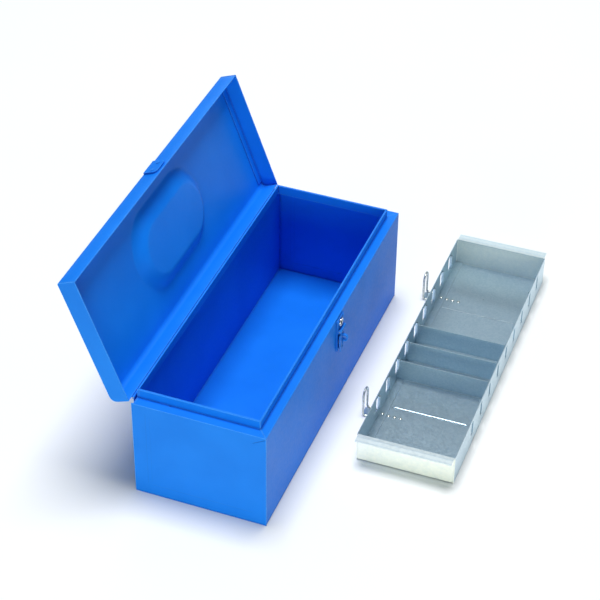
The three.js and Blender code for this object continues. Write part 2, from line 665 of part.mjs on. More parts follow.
// ---- piano hinge ----
// One leaf: up is +1 for the lid's and -1 for the body's. Every other knuckle belongs to it.
function hingeLeaf(up) {
  const count = 2 * Math.round(HINGE_LENGTH / KNUCKLE_PITCH / 2);
  const pitch = HINGE_LENGTH / count;
  const back = HALF_WIDTH + GAP;
  const start = KNUCKLE_RADIUS + GAP;
  const heights = (a, b) => ordered(HINGE_Z + up * a, HINGE_Z + up * b);
  const pieces = [
    box(-HINGE_LENGTH / 2, HINGE_LENGTH / 2, back, back + LEAF_THICKNESS, ...heights(start, LEAF_REACH)),
  ];
  for (let k = up > 0 ? 1 : 0; k < count; k += 2) {
    const from = -HINGE_LENGTH / 2 + k * pitch + GAP / 2;
    const to = from + pitch - GAP;
    pieces.push(alongX(circle(HINGE_Y, HINGE_Z, KNUCKLE_RADIUS, 12), from, to));
    pieces.push(box(from, to, back, back + LEAF_THICKNESS, ...heights(0, start + GAP)));
  }
  const bore = alongX(circle(HINGE_Y, HINGE_Z, HINGE_PIN_RADIUS + GAP, 12), -HALF_LENGTH, HALF_LENGTH);
  return cut(join(...pieces), bore);
}

function hingePin() {
  return alongX(circle(HINGE_Y, HINGE_Z, HINGE_PIN_RADIUS, 12), -HINGE_LENGTH / 2, HINGE_LENGTH / 2);
}

piece(model, "hinge_leaf_body", hingeLeaf(-1), bluePaint);
piece(model, "hinge_pin", hingePin(), zincPlate);
piece(lid, "hinge_leaf_lid", hingeLeaf(1), bluePaint);

// ---- carrying handle in the lid's recess, hanging straight down from its pivot while the lid is open ----
function bailSaddle(side) {
  const x = side * (BAIL_SPAN / 2 - BAIL_STUB / 2 - BAIL_RADIUS);
  const under = CUP_FLOOR + GAP;
  const inside = BAIL_RADIUS + GAP;
  const outside = inside + SADDLE_SHEET;
  const round = 0.95 * inside;
  const strap = outline([
    [BAIL_Y - SADDLE_FOOT, under],
    [BAIL_Y - inside, under],
    [BAIL_Y - inside, BAIL_Z + inside, round],
    [BAIL_Y + inside, BAIL_Z + inside, round],
    [BAIL_Y + inside, under],
    [BAIL_Y + SADDLE_FOOT, under],
    [BAIL_Y + SADDLE_FOOT, under + SADDLE_SHEET],
    [BAIL_Y + outside, under + SADDLE_SHEET],
    [BAIL_Y + outside, BAIL_Z + outside, round],
    [BAIL_Y - outside, BAIL_Z + outside, round],
    [BAIL_Y - outside, under + SADDLE_SHEET],
    [BAIL_Y - SADDLE_FOOT, under + SADDLE_SHEET],
  ]);
  return alongX(strap, x - SADDLE_WIDTH / 2, x + SADDLE_WIDTH / 2);
}

function bail() {
  const half = BAIL_SPAN / 2;
  return wire([
    [-half + BAIL_STUB, 0, 0],
    [-half, 0, 0, BAIL_RADIUS + 1],
    [-half, BAIL_REACH, 0, BAIL_BEND],
    [half, BAIL_REACH, 0, BAIL_BEND],
    [half, 0, 0, BAIL_RADIUS + 1],
    [half - BAIL_STUB, 0, 0],
  ], BAIL_RADIUS, 10, 56);
}

const bailPivot = new THREE.Group();
bailPivot.position.set(0, BAIL_Y, BAIL_Z);
bailPivot.rotation.x = degrees(LID_OPEN_ANGLE - 90);
lid.add(bailPivot);
piece(lid, "handle_saddle_left", bailSaddle(-1), zincPlate);
piece(lid, "handle_saddle_right", bailSaddle(1), zincPlate);
piece(bailPivot, "handle_bail", bail(), zincPlate);

// ---- insert tray: x from its -X end, y = 0 at the rear wall's outer face, front wall at -TRAY_WIDTH ----
const tray = new THREE.Group();
tray.position.set(TRAY_X, TRAY_Y, 0);
tray.rotation.z = degrees(TRAY_TURN);
model.add(tray);

const slotStations = Array.from({ length: SLOT_COUNT }, (_, k) => SLOT_FIRST + k * SLOT_PITCH);
const strapStations = [-1, 1].map((side) => TRAY_LENGTH / 2 + side * STRAP_OFFSET);

function strapHole(x, y) {
  return alongZ(circle(x, y, STRAP_SHANK_RADIUS + GAP, 10), -1, FOOT_TOP + 1);
}

function strapHoles() {
  return strapStations.flatMap((x) => STRAP_RIVETS.map((inward) => strapHole(x, -inward)));
}

// Floor and end walls in one sheet; each end wall's top turns outwards into a drooping flange.
function trayPan() {
  const flat = TRAY_HEIGHT - TRAY_SHEET;
  const half = (direction) => [
    [FLANGE_FLAT, flat],
    [FLANGE_REACH, flat - FLANGE_DROOP],
    [FLANGE_REACH, TRAY_HEIGHT - FLANGE_DROOP],
    [FLANGE_FLAT, TRAY_HEIGHT],
    [-TRAY_SHEET, TRAY_HEIGHT],
    [-TRAY_SHEET, FLOOR_TOP],
  ].map(([out, z]) => [direction > 0 ? TRAY_LENGTH + out : -out, z]);
  const profile = outline([
    [0, TRAY_FLOOR],
    [TRAY_LENGTH, TRAY_FLOOR],
    [TRAY_LENGTH, flat],
    ...half(1),
    ...half(-1).reverse(),
    [0, flat],
  ]);
  const inset = TRAY_SHEET + GAP;
  const sheet = alongY(profile, -TRAY_WIDTH + inset, -inset);
  const beads = BEAD_STATIONS.map((x) => box(x - BEAD_HALF, x + BEAD_HALF,
    -TRAY_WIDTH + WALL_FOOT + 2, -WALL_FOOT - 2, TRAY_FLOOR + TRAY_SHEET / 2, FLOOR_TOP + BEAD_RISE));
  return cut(join(sheet, ...beads), ...strapHoles());
}

// A side wall with its foot on the floor. outer is its outer face's y, inward points to the tray's middle.
function trayWall(outer, inward) {
  const across = (a, b) => ordered(outer + inward * a, outer + inward * b);
  const [slotLow, slotHigh] = [SLOT_BOTTOM * TRAY_HEIGHT, SLOT_TOP * TRAY_HEIGHT];
  const wall = box(0, TRAY_LENGTH, ...across(0, TRAY_SHEET), 0, TRAY_HEIGHT);
  const clear = TRAY_SHEET + GAP;
  const foot = box(clear, TRAY_LENGTH - clear, ...across(TRAY_SHEET / 2, WALL_FOOT), FOOT_UNDER, FOOT_TOP);
  const tabs = slotStations.flatMap((x) => {
    const tab = x + SLOT_WIDTH / 2;
    const lug = tab + TRAY_SHEET + 2 * GAP + TRAY_SHEET;
    return [
      box(tab, tab + TRAY_SHEET, ...across(TRAY_SHEET / 2, TRAY_SHEET + TAB_REACH), slotLow, slotHigh),
      box(lug, lug + TRAY_SHEET, ...across(TRAY_SHEET / 2, TRAY_SHEET + LUG_REACH), slotHigh - 8, slotHigh),
    ];
  });
  const slots = slotStations.map((x) =>
    box(x - SLOT_WIDTH / 2, x + SLOT_WIDTH / 2, ...across(-1, TRAY_SHEET + GAP), slotLow, slotHigh));
  const notches = strapStations.map((x) =>
    box(x - STRAP_HALF - GAP, x + STRAP_HALF + GAP, ...across(-1, 2), -1, TRAY_FLOOR));
  return cut(join(wall, foot, ...tabs), ...slots, ...notches, ...strapHoles());
}

function trayDivider(slot) {
  const x = slotStations[slot] + SLOT_WIDTH / 2 + TRAY_SHEET + GAP;
  const side = TRAY_SHEET + GAP;
  return box(x, x + TRAY_SHEET, -TRAY_WIDTH + side, -side, FOOT_TOP + GAP, DIVIDER_TOP);
}

// Flat strap riveted under the floor, sticking out behind the rear wall.
function loopStrap(x) {
  const strap = box(x - STRAP_HALF, x + STRAP_HALF, -STRAP_INNER, STRAP_OUTER, 0, TRAY_FLOOR - GAP);
  return cut(strap, ...STRAP_RIVETS.map((inward) => strapHole(x, -inward)));
}

// Upright wire loop whose feet run along both edges of the strap.
function liftingLoop(x) {
  const half = STRAP_HALF + GAP + WIRE_RADIUS;
  const low = WIRE_RADIUS + GAP / 2;
  const top = LOOP_TOP - WIRE_RADIUS;
  const start = WIRE_RADIUS + GAP;
  return wire([
    [x - half, start, low],
    [x - half, LOOP_REACH, low, WIRE_BEND],
    [x - half, LOOP_REACH, top, half],
    [x + half, LOOP_REACH, top, half],
    [x + half, LOOP_REACH, low, WIRE_BEND],
    [x + half, start, low],
  ], WIRE_RADIUS, 8, 60);
}

function strapRivet(x, inward) {
  const seat = (inward < WALL_FOOT ? FOOT_TOP : FLOOR_TOP) + GAP;
  return turnedAlongZ([
    [0, GAP],
    [STRAP_SHANK_RADIUS, GAP],
    [STRAP_SHANK_RADIUS, seat],
    [STRAP_HEAD_RADIUS, seat],
    [0.6 * STRAP_HEAD_RADIUS, seat + 0.85 * RIVET_HEAD_HEIGHT],
    [0, seat + RIVET_HEAD_HEIGHT],
  ], x, -inward, 10);
}

piece(tray, "tray_pan", trayPan(), galvanised);
piece(tray, "tray_wall_rear", trayWall(0, -1), galvanised);
piece(tray, "tray_wall_front", trayWall(-TRAY_WIDTH, 1), galvanised);
DIVIDER_STATIONS.forEach((slot, i) => piece(tray, `tray_divider_${i + 1}`, trayDivider(slot), galvanised));
strapStations.forEach((x, i) => {
  piece(tray, `loop_strap_${i + 1}`, loopStrap(x), galvanised);
  piece(tray, `lifting_loop_${i + 1}`, liftingLoop(x), zincPlate);
  STRAP_RIVETS.forEach((inward, k) => {
    piece(tray, `strap_rivet_${i + 1}_${k + 1}`, strapRivet(x, inward), zincPlate);
  });
});

export default model;
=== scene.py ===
"""A blue sheet-steel toolbox that stands open, with its galvanised insert tray in front of it.

Metres, +Z up, X along the box, the latch on the -Y side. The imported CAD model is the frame. Most of
its sheets stay as they are, with rolled edges and new materials. The pressed lid, the wires, the
rivets, the lock and the beads of the tray's floor are built here in finer detail.
"""
import math

import bmesh
import bpy
from mathutils import Matrix, Vector


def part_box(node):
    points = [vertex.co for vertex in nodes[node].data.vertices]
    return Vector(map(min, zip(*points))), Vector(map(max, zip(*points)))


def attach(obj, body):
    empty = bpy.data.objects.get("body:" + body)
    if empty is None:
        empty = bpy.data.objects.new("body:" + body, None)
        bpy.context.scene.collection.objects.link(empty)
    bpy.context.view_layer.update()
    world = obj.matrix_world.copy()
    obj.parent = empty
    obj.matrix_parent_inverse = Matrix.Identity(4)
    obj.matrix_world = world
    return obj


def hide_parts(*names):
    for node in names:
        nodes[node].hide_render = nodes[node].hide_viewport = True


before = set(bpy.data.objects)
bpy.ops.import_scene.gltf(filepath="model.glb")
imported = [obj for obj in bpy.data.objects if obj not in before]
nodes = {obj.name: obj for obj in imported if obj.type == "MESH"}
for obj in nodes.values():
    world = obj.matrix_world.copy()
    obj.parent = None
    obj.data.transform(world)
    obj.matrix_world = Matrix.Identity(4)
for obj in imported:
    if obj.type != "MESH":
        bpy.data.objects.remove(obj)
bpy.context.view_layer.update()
MM = 0.001

# ---- dimensions shared with the CAD ----
GAP = 0.3 * MM
SHEET = 1.2 * MM
HALF_LENGTH = 250 * MM
HALF_WIDTH = 89 * MM
WRAP_HALF = HALF_LENGTH - SHEET - GAP
BODY_HEIGHT = 146 * MM
LID_RIM = BODY_HEIGHT + GAP
LID_TOP = BODY_HEIGHT + 25.3 * MM
LID_MIDDLE = (LID_RIM + LID_TOP) / 2
LID_REAR_BEND = 8 * MM
LID_FRONT_BEND = 2 * MM
LID_ANGLE = math.radians(110.5)
HINGE = Vector((0, HALF_WIDTH + GAP + 1.8 * MM, LID_RIM))
CUP_LENGTH = 196 * MM
CUP_WIDTH = 113 * MM
CUP_SLOPE_RUN = 21 * MM
CUP_DEPTH = 12 * MM
CUP_Y = -3 * MM
BAIL_RADIUS = 3 * MM
BAIL_SPAN = 116 * MM
BAIL_REACH = 32 * MM
BAIL_STUB = 20 * MM
BAIL_Y = CUP_Y - 10 * MM
BAIL_Z = LID_TOP - CUP_DEPTH + GAP + BAIL_RADIUS
LATCH_X = 9 * MM
LATCH_FACE = -HALF_WIDTH - GAP - SHEET
CATCH_THICKNESS = 2.2 * MM
CATCH_RIVET_OFFSET = 9 * MM
LOCK_Z = BODY_HEIGHT - 13 * MM
LOCK_DEPTH = 13 * MM
TRAY_LENGTH = 451 * MM
TRAY_WIDTH = 131.4 * MM
TRAY_HEIGHT = 43.4 * MM
TRAY_ORIGIN = Vector((-93.6 * MM, -152.3 * MM, 0))
TRAY_TURN = math.radians(0.585)
TRAY_FLOOR_TOP = 2.5 * MM
WALL_FOOT = 11 * MM
WALL_FOOT_TOP = 3.8 * MM
STRAP_OFFSET = 134 * MM
STRAP_HALF = 7 * MM
STRAP_RIVETS = [5.5 * MM, 14 * MM, 22.5 * MM, 31 * MM]
LOOP_REACH = 19 * MM
LOOP_TOP = 42 * MM
WIRE_RADIUS = 1.5 * MM

# ---- finer detail, not in the CAD ----
BEADS = [(111 * MM, 0.9 * MM), (341 * MM, 0.12 * MM)]  # station along the tray, and rise
END_CREASES = [  # (y, z) of each end of a groove in an end plate, in mm, and its depth from 0 to 1
    ((-68, 17), (64, 17), 0.3),
    ((71, 20), (71, 132), 0.22),
    ((65.5, 24), (65.5, 128), 0.15),
    ((-87, 143), (-73, 134.5), 1.0),
]

about_hinge = Matrix.Rotation(-LID_ANGLE, 4, "X")
to_open_lid = Matrix.Translation(HINGE) @ about_hinge @ Matrix.Translation(-HINGE)
to_tray = Matrix.Translation(TRAY_ORIGIN) @ Matrix.Rotation(TRAY_TURN, 4, "Z")


# ---- node helpers ----
class Shader:
    """A material under construction: each method adds nodes and returns an output socket."""

    def __init__(self, name):
        self.material = bpy.data.materials.new(name)
        self.material.use_nodes = True
        self.tree = self.material.node_tree
        self.surface = self.tree.nodes["Principled BSDF"]
        self.place = self.tree.nodes.new("ShaderNodeTexCoord").outputs["Object"]

    def feed(self, socket, value):
        if isinstance(value, bpy.types.NodeSocket):
            self.tree.links.new(value, socket)
        else:
            socket.default_value = value

    def node(self, kind, inputs, **settings):
        made = self.tree.nodes.new(kind)
        for key, value in settings.items():
            setattr(made, key, value)
        for key, value in inputs.items():
            self.feed(made.inputs[key], value)
        return made

    def noise(self, scale, detail=3, roughness=0.5, place=None):
        """Fractal noise from 0 to 1. The scale is in waves per metre."""
        place = place or self.place
        inputs = {"Vector": place, "Scale": scale, "Detail": detail, "Roughness": roughness}
        return self.node("ShaderNodeTexNoise", inputs).outputs["Fac"]

    def streaks(self, scales, detail, roughness):
        """Noise with its own number of waves per metre along X, Y and Z."""
        place = self.node("ShaderNodeMapping", {"Vector": self.place, "Scale": scales})
        return self.noise(1.0, detail, roughness, place.outputs["Vector"])

    def remap(self, value, source, target):
        """Stretches the source range onto the target range, and clamps what is outside it."""
        inputs = {"Value": value, "From Min": source[0], "From Max": source[1]}
        inputs |= {"To Min": target[0], "To Max": target[1]}
        return self.node("ShaderNodeMapRange", inputs).outputs["Result"]

    def math(self, operation, a, b=0.0):
        return self.node("ShaderNodeMath", {0: a, 1: b}, operation=operation).outputs[0]

    def dot(self, a, b):
        made = self.node("ShaderNodeVectorMath", {0: a, 1: b}, operation="DOT_PRODUCT")
        return made.outputs["Value"]

    def mix(self, factor, a, b):
        made = self.node("ShaderNodeMix", {"Factor": factor}, data_type="RGBA")
        colours = [s for s in made.inputs if s.type == "RGBA"]
        for socket, value in zip(colours, (a, b)):
            self.feed(socket, value)
        return next(s for s in made.outputs if s.type == "RGBA")

    def bump(self, height, distance, strength=1.0, normal=None):
        inputs = {"Height": height, "Distance": distance, "Strength": strength}
        if normal is not None:
            inputs["Normal"] = normal
        return self.node("ShaderNodeBump", inputs).outputs["Normal"]

    def edges(self, radius, gain):
        """About 1 near an edge and 0 on flat faces: how far a rounded normal leans."""
        rounded = self.node("ShaderNodeBevel", {"Radius": radius}, samples=4).outputs["Normal"]
        real = self.node("ShaderNodeNewGeometry", {}).outputs["True Normal"]
        lean = self.math("SUBTRACT", 1.0, self.dot(rounded, real))
        gained = self.math("MULTIPLY", lean, gain)
        return self.node("ShaderNodeClamp", {"Value": gained}).outputs["Result"]

    def corners(self, reach):
        """About 1 in tight inner corners and 0 on open faces."""
        DARK, OPEN = 0.45, 0.85
        made = self.node("ShaderNodeAmbientOcclusion", {"Distance": reach}, samples=6)
        return self.remap(made.outputs["AO"], (DARK, OPEN), (1.0, 0.0))

    def finish(self, **inputs):
        for key, value in inputs.items():
            self.feed(self.surface.inputs[key.replace("_", " ")], value)
        return self.material


# ---- colours ----
def rgb(red, green, blue):
    return (red, green, blue, 1.0)


PAINT_DEEP = rgb(0.003, 0.188, 0.81)
PAINT_LIGHT = rgb(0.005, 0.208, 0.86)
# Painted highlight colour for the paint's edges.
PAINT_EDGE_HIGHLIGHT = rgb(0.09, 0.40, 0.98)
# Painted shade colour for tight inner corners.
PAINT_CORNER_SHADE = rgb(0.002, 0.05, 0.5)
# Painted shade colour for the grooves in the end plates.
PAINT_GROOVE_SHADE = rgb(0.002, 0.06, 0.36)
ZINC_DARK = rgb(0.52, 0.68, 0.78)
ZINC_LIGHT = rgb(0.60, 0.74, 0.83)
ZINC_STAIN = rgb(0.48, 0.61, 0.70)
# Painted highlight colour for the zinc's edges.
ZINC_EDGE_HIGHLIGHT = rgb(0.86, 0.90, 0.90)
# Painted highlight colour for the outside of the tray's ends.
ZINC_END_HIGHLIGHT = rgb(0.96, 0.98, 0.91)
PLATE_BRIGHT = rgb(0.66, 0.69, 0.66)
PLATE_DULL = rgb(0.44, 0.47, 0.45)
CHROME_DARK = rgb(0.70, 0.72, 0.74)
CHROME_LIGHT = rgb(0.86, 0.87, 0.88)
STEEL_BLACK = rgb(0.02, 0.022, 0.026)
STEEL_GREY = rgb(0.05, 0.052, 0.056)
STEEL_WORN = rgb(0.4, 0.41, 0.42)
FLOOR_DARK = rgb(0.93, 0.93, 0.93)
FLOOR_LIGHT = rgb(0.96, 0.96, 0.96)
SKY = rgb(0.6, 0.83, 1.0)


# ---- materials ----
def crease_height(shader, creases):
    """From 0 on the flat plate to a groove's own depth along its middle."""
    WIDTH = 1.4 * MM
    SOFT_END = 3 * MM
    split = shader.node("ShaderNodeSeparateXYZ", {"Vector": shader.place})

    def distance(direction, origin):
        across = shader.math("MULTIPLY", split.outputs["Y"], direction[0])
        up = shader.math("MULTIPLY", split.outputs["Z"], direction[1])
        return shader.math("SUBTRACT", shader.math("ADD", across, up), direction.dot(origin))

    total = 0.0
    for start, end, depth in creases:
        start = Vector(start) * MM
        end = Vector(end) * MM
        along = (end - start).normalized()
        length = (end - start).length
        off = shader.math("ABSOLUTE", distance(along.orthogonal().normalized(), start))
        line = shader.remap(off, (0.0, WIDTH / 2), (depth, 0.0))
        run = distance(along, start)
        begun = shader.remap(run, (-SOFT_END, 0.0), (0.0, 1.0))
        ended = shader.remap(run, (length, length + SOFT_END), (1.0, 0.0))
        groove = shader.math("MULTIPLY", line, shader.math("MULTIPLY", begun, ended))
        total = shader.math("MAXIMUM", total, groove)
    return total


def blue_paint(name, creases=()):
    """Gloss enamel with orange peel over the sheet's slow waves, with a painted highlight along its
    edges and painted shade in its inner corners and grooves.
    """
    shader = Shader(name)
    cloudy = shader.remap(shader.noise(14.0, detail=2), (0.35, 0.65), (0.0, 1.0))
    colour = shader.mix(cloudy, PAINT_DEEP, PAINT_LIGHT)
    patchy = shader.remap(shader.noise(90.0), (0.3, 0.7), (0.45, 0.95))
    # Painted highlight: the paint is made paler along its edges, in patches.
    edge_highlight = shader.math("MULTIPLY", shader.edges(1.8 * MM, 5.0), patchy)
    colour = shader.mix(edge_highlight, colour, PAINT_EDGE_HIGHLIGHT)
    # Painted shade: the paint is darkened in tight inner corners.
    corner_shade = shader.math("MULTIPLY", shader.corners(5 * MM), 0.75)
    colour = shader.mix(corner_shade, colour, PAINT_CORNER_SHADE)
    roughness = shader.remap(shader.noise(240.0, detail=4, roughness=0.65), (0.3, 0.7), (0.38, 0.5))
    waves = shader.noise(9.0, detail=1, roughness=0.3)
    peel = shader.noise(620.0, detail=2, roughness=0.4)
    normal = shader.bump(waves, 1.6 * MM, strength=0.5)
    normal = shader.bump(peel, 0.05 * MM, strength=0.55, normal=normal)
    if creases:
        groove = crease_height(shader, creases)
        normal = shader.bump(groove, -0.5 * MM, strength=1.0, normal=normal)
        # Painted shade: the colour darkens along the middle of each groove.
        colour = shader.mix(shader.math("MULTIPLY", groove, 0.7), colour, PAINT_GROOVE_SHADE)
    return shader.finish(Base_Color=colour, Roughness=roughness, Specular_IOR_Level=0.16,
                         Normal=normal)


def painted_end_highlight(shader):
    """A painted highlight: the outside of the tray's ends made near-white, less on their flanges,
    with painted shade in two lines along each flange.
    """
    SKIN = 0.4 * MM
    FADE = 1.5 * MM
    MOST = 0.95
    RIM = (TRAY_HEIGHT - 2 * MM, TRAY_HEIGHT - 1 * MM)
    FLANGE_SHARE = 0.57
    FLANGE_SHADE_LINES = (4.5 * MM, 11.5 * MM)
    LINE_FADE = (0.3 * MM, 1.4 * MM)
    FLANGE_LINE_SHADE = 0.22
    lengthways = Vector((math.cos(TRAY_TURN), math.sin(TRAY_TURN), 0))
    middle = lengthways.dot(TRAY_ORIGIN) + TRAY_LENGTH / 2
    along = shader.dot(shader.place, lengthways)
    from_middle = shader.math("ABSOLUTE", shader.math("SUBTRACT", along, middle))
    start = TRAY_LENGTH / 2 - SKIN
    # Painted highlight: the outer faces of the tray's ends are made near-white.
    end_highlight = shader.remap(from_middle, (start - FADE, start), (0.0, MOST))
    split = shader.node("ShaderNodeSeparateXYZ", {"Vector": shader.place})
    share = shader.remap(split.outputs["Z"], RIM, (1.0, FLANGE_SHARE))
    end_highlight = shader.math("MULTIPLY", end_highlight, share)
    # Painted shade: two dark lines along each flange, where the sheet bends.
    for out in FLANGE_SHADE_LINES:
        off = shader.math("SUBTRACT", from_middle, TRAY_LENGTH / 2 + out)
        line = shader.remap(shader.math("ABSOLUTE", off), LINE_FADE, (FLANGE_LINE_SHADE, 0.0))
        end_highlight = shader.math("SUBTRACT", end_highlight, line)
    patchy = shader.remap(shader.noise(160.0, detail=4, roughness=0.6), (0.3, 0.7), (0.75, 1.0))
    return shader.math("MULTIPLY", end_highlight, patchy)


def spangle(shader):
    """Zinc crystals with wandering borders: a random tone and a random tilt for each."""
    WANDER = 2 * MM
    inputs = {"Vector": shader.place, "Scale": 260.0, "Detail": 2.0}
    warp = shader.node("ShaderNodeTexNoise", inputs).outputs["Color"]
    shift = shader.node("ShaderNodeVectorMath", {0: warp, "Scale": WANDER}, operation="SCALE")
    moved = shader.node("ShaderNodeVectorMath", {0: shader.place, 1: shift.outputs[0]},
                        operation="ADD")
    cells = shader.node("ShaderNodeTexVoronoi", {"Vector": moved.outputs[0], "Scale": 420.0})
    crystal = shader.node("ShaderNodeSeparateColor", {"Color": cells.outputs["Color"]})
    return crystal.outputs["Red"], crystal.outputs["Green"]


def galvanised(name):
    """Hot-dip galvanised sheet: spangle, faint rolling streaks, stains, a painted highlight along its
    edges and a painted near-white highlight on the outside of its ends.
    """
    shader = Shader(name)
    tone, tilt = spangle(shader)
    streaks = shader.streaks((14.0, 900.0, 900.0), detail=5, roughness=0.6)
    stains = shader.remap(shader.noise(22.0, detail=4, roughness=0.6), (0.45, 0.75), (0.0, 0.2))
    end_highlight = painted_end_highlight(shader)
    colour = shader.mix(tone, ZINC_DARK, ZINC_LIGHT)
    colour = shader.mix(stains, colour, ZINC_STAIN)
    # Painted highlight: the zinc is made paler along its edges.
    zinc_edge_highlight = shader.math("MULTIPLY", shader.edges(0.8 * MM, 3.0), 0.6)
    colour = shader.mix(zinc_edge_highlight, colour, ZINC_EDGE_HIGHLIGHT)
    # Painted highlight: near-white on the outside of the tray's ends.
    colour = shader.mix(end_highlight, colour, ZINC_END_HIGHLIGHT)
    roughness = shader.remap(shader.math("ADD", tilt, streaks), (0.3, 1.6), (0.27, 0.36))
    roughness = shader.math("ADD", roughness, shader.math("MULTIPLY", end_highlight, 0.15))
    metallic = shader.remap(end_highlight, (0.0, 1.0), (0.84, 0.25))
    normal = shader.bump(tilt, 0.01 * MM, strength=0.3)
    normal = shader.bump(streaks, 0.01 * MM, strength=0.4, normal=normal)
    return shader.finish(Base_Color=colour, Roughness=roughness, Metallic=metallic, Normal=normal)


def zinc_plate(name):
    """Bright zinc plate on wire and rivets, with drawing lines and dull patches."""
    shader = Shader(name)
    patches = shader.noise(260.0, detail=4, roughness=0.6)
    dull = shader.remap(patches, (0.4, 0.7), (0.0, 1.0))
    colour = shader.mix(dull, PLATE_BRIGHT, PLATE_DULL)
    roughness = shader.remap(patches, (0.3, 0.7), (0.22, 0.42))
    lines = shader.streaks((2600.0, 2600.0, 300.0), detail=3, roughness=0.5)
    normal = shader.bump(lines, 0.015 * MM, strength=0.4)
    return shader.finish(Base_Color=colour, Roughness=roughness, Metallic=0.9, Normal=normal)


def chrome(name):
    """Polished plating with hairline scratches."""
    shader = Shader(name)
    hairs = shader.streaks((700.0, 700.0, 5200.0), detail=4, roughness=0.6)
    colour = shader.mix(hairs, CHROME_DARK, CHROME_LIGHT)
    roughness = shader.remap(hairs, (0.35, 0.65), (0.08, 0.2))
    normal = shader.bump(hairs, 0.01 * MM, strength=0.3)
    return shader.finish(Base_Color=colour, Roughness=roughness, Metallic=1.0, Normal=normal)


def dark_steel(name):
    """Blackened steel, worn a little brighter at its edges."""
    shader = Shader(name)
    grain = shader.noise(900.0, detail=3)
    worn = shader.math("MULTIPLY", shader.edges(0.4 * MM, 3.0), 0.8)
    colour = shader.mix(worn, shader.mix(grain, STEEL_BLACK, STEEL_GREY), STEEL_WORN)
    roughness = shader.remap(grain, (0.3, 0.7), (0.3, 0.5))
    normal = shader.bump(grain, 0.02 * MM, strength=0.5)
    return shader.finish(Base_Color=colour, Roughness=roughness, Metallic=0.9, Normal=normal)


def pale_floor(name):
    """Plain pale studio floor with a faint mottle."""
    shader = Shader(name)
    mottle = shader.noise(3.0, detail=3)
    colour = shader.mix(mottle, FLOOR_DARK, FLOOR_LIGHT)
    return shader.finish(Base_Color=colour, Roughness=shader.remap(mottle, (0.3, 0.7), (0.8, 0.9)))


paint = blue_paint("blue_paint")
paint_end = blue_paint("blue_paint_end", END_CREASES)
zinc_sheet = galvanised("galvanised_sheet")
zinc_wire = zinc_plate("zinc_plate")
chrome_plate = chrome("chrome_plate")
black_steel = dark_steel("dark_steel")


# ---- mesh helpers ----
def quarter_turn(steps):
    """Angles from zero to a right angle in equal steps."""
    return [math.pi / 2 * k / steps for k in range(steps + 1)]


def grid_faces(columns, rows):
    """Quads over a grid whose vertices are listed column by column, rows to a column."""
    return [[i * rows + j, i * rows + j + 1, (i + 1) * rows + j + 1, (i + 1) * rows + j]
            for i in range(columns - 1) for j in range(rows - 1)]


def smooth(mesh):
    for face in mesh.polygons:
        face.use_smooth = True


def face_outwards(mesh, weld=0.0):
    """Turns all faces outwards, after joining vertices that are no further apart than weld."""
    shape = bmesh.new()
    shape.from_mesh(mesh)
    if weld:
        bmesh.ops.remove_doubles(shape, verts=shape.verts, dist=weld)
    bmesh.ops.recalc_face_normals(shape, faces=shape.faces)
    shape.to_mesh(mesh)
    shape.free()


def mesh_from(name, vertices, faces, place):
    mesh = bpy.data.meshes.new(name)
    mesh.from_pydata([place @ Vector(v) for v in vertices], [], faces)
    face_outwards(mesh)
    smooth(mesh)
    return mesh


def new_piece(name, mesh, material, body, slot, *stands_for):
    piece = bpy.data.objects.new(name, mesh)
    bpy.context.scene.collection.objects.link(piece)
    mesh.materials.append(material)
    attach(piece, body)
    if stands_for:
        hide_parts(*stands_for)
    return piece


def turned(name, profile, place, sides=40):
    """A solid of revolution about its own Z axis, from a list of (radius, z)."""
    vertices, faces, rings = [], [], []
    angles = [2 * math.pi * k / sides for k in range(sides)]
    for radius, z in profile:
        count = sides if radius else 1
        rings.append(list(range(len(vertices), len(vertices) + count)))
        vertices += [(radius * math.cos(a), radius * math.sin(a), z) for a in angles[:count]]
    for lower, upper in zip(rings, rings[1:]):
        for k in range(sides):
            corners = [lower[k % len(lower)], lower[(k + 1) % len(lower)],
                       upper[(k + 1) % len(upper)], upper[k % len(upper)]]
            faces.append(list(dict.fromkeys(corners)))
    return mesh_from(name, vertices, faces, place)


def rounded_route(stops, step):
    """Points along straight runs with right-angled round bends.

    Each stop is (x, y, z, bend radius). The two ends have no bend.
    """
    FEWEST, SAME = 6, 1e-7
    route = [Vector(stops[0][:3])]
    for before, here, after in zip(stops, stops[1:], stops[2:]):
        corner = Vector(here[:3])
        radius = here[3]
        back = (Vector(before[:3]) - corner).normalized()
        onward = (Vector(after[:3]) - corner).normalized()
        centre = corner + (back + onward) * radius
        for turn in quarter_turn(max(FEWEST, round(radius * math.pi / 2 / step))):
            out = onward * radius * math.cos(turn) + back * radius * math.sin(turn)
            route.append(centre - out)
    route.append(Vector(stops[-1][:3]))
    return [p for k, p in enumerate(route) if k == 0 or (p - route[k - 1]).length > SAME]


